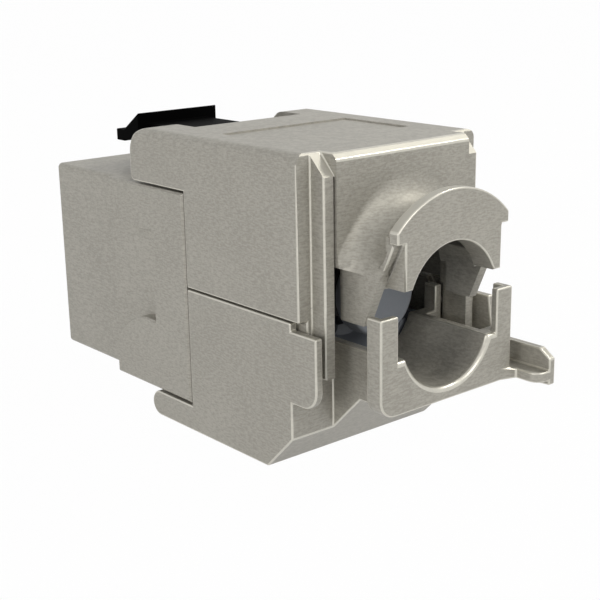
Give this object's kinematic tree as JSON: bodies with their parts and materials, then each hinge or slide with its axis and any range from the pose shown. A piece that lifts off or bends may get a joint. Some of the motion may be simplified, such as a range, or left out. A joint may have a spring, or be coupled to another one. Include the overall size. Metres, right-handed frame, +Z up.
{
  "type": "keystone jack",
  "caption": "Shielded network keystone jack in a nickel-plated cast housing with two hinged rear covers, a cable clamp and a black plastic panel latch.",
  "frame": {"origin": "centre of the flat base under the lower cover, on the middle plane of the jack", "axes": "+X across the jack, away from the side with the thumb tab; +Y along the cable, away from the plug; +Z up, from the base towards the latch"},
  "size_m": [0.0168, 0.0414, 0.0228],
  "materials": {
    "nickel_casting": "satin nickel plate on a zinc die casting, fine grain along the jack",
    "black_plastic": "black moulded plastic",
    "pin_steel": "plain steel pin",
    "insert_plastic": "black moulded plastic",
    "block_plastic": "dark grey moulded plastic",
    "guide_plastic": "bluish-grey moulded plastic",
    "board": "green solder mask on a glass-fibre board",
    "contact_gold": "gold-plated bronze wire",
    "blade_tin": "tin-plated bronze",
    "spring_steel": "nickel-plated spring strip"
  },
  "bodies": {
    "housing": {"front_housing": "nickel_casting", "port_insert": "insert_plastic", "circuit_board": "board", "retainer_plate": "block_plastic", "contact_block": "block_plastic", "lower_pin": "pin_steel", "upper_pin_left": "pin_steel", "upper_pin_right": "pin_steel", "plug_contact_1": "contact_gold", "plug_contact_2": "contact_gold", "plug_contact_3": "contact_gold", "plug_contact_4": "contact_gold", "plug_contact_5": "contact_gold", "plug_contact_6": "contact_gold", "plug_contact_7": "contact_gold", "plug_contact_8": "contact_gold", "upper_wire_blade_1": "blade_tin", "upper_wire_blade_2": "blade_tin", "upper_wire_blade_3": "blade_tin", "upper_wire_blade_4": "blade_tin", "lower_wire_blade_1": "blade_tin", "lower_wire_blade_2": "blade_tin", "lower_wire_blade_3": "blade_tin", "lower_wire_blade_4": "blade_tin", "ground_spring_left": "spring_steel", "ground_spring_right": "spring_steel"},
    "upper_cover_group": {"upper_cover": "nickel_casting", "upper_wire_guide": "guide_plastic"},
    "lower_cover_group": {"lower_cover": "nickel_casting", "lower_wire_guide": "guide_plastic"},
    "latch_arm": {"latch": "black_plastic"}
  },
  "joints": [
    {"name": "upper_cover_hinge", "type": "hinge", "parent": "housing", "child": "upper_cover_group", "pos_m": [0, -0.0084, 0.0205], "axis": [1, 0, 0], "range_deg": [0, 95]},
    {"name": "lower_cover_hinge", "type": "hinge", "parent": "housing", "child": "lower_cover_group", "pos_m": [0, -0.0069, 0.001], "axis": [1, 0, 0], "range_deg": [-90, 0]},
    {"name": "latch_flex", "type": "hinge", "parent": "housing", "child": "latch_arm", "pos_m": [0, -0.00595, 0.0202], "axis": [1, 0, 0], "range_deg": [0, 7.5], "stiffness_Nm_per_rad": 0.3}
  ]
}
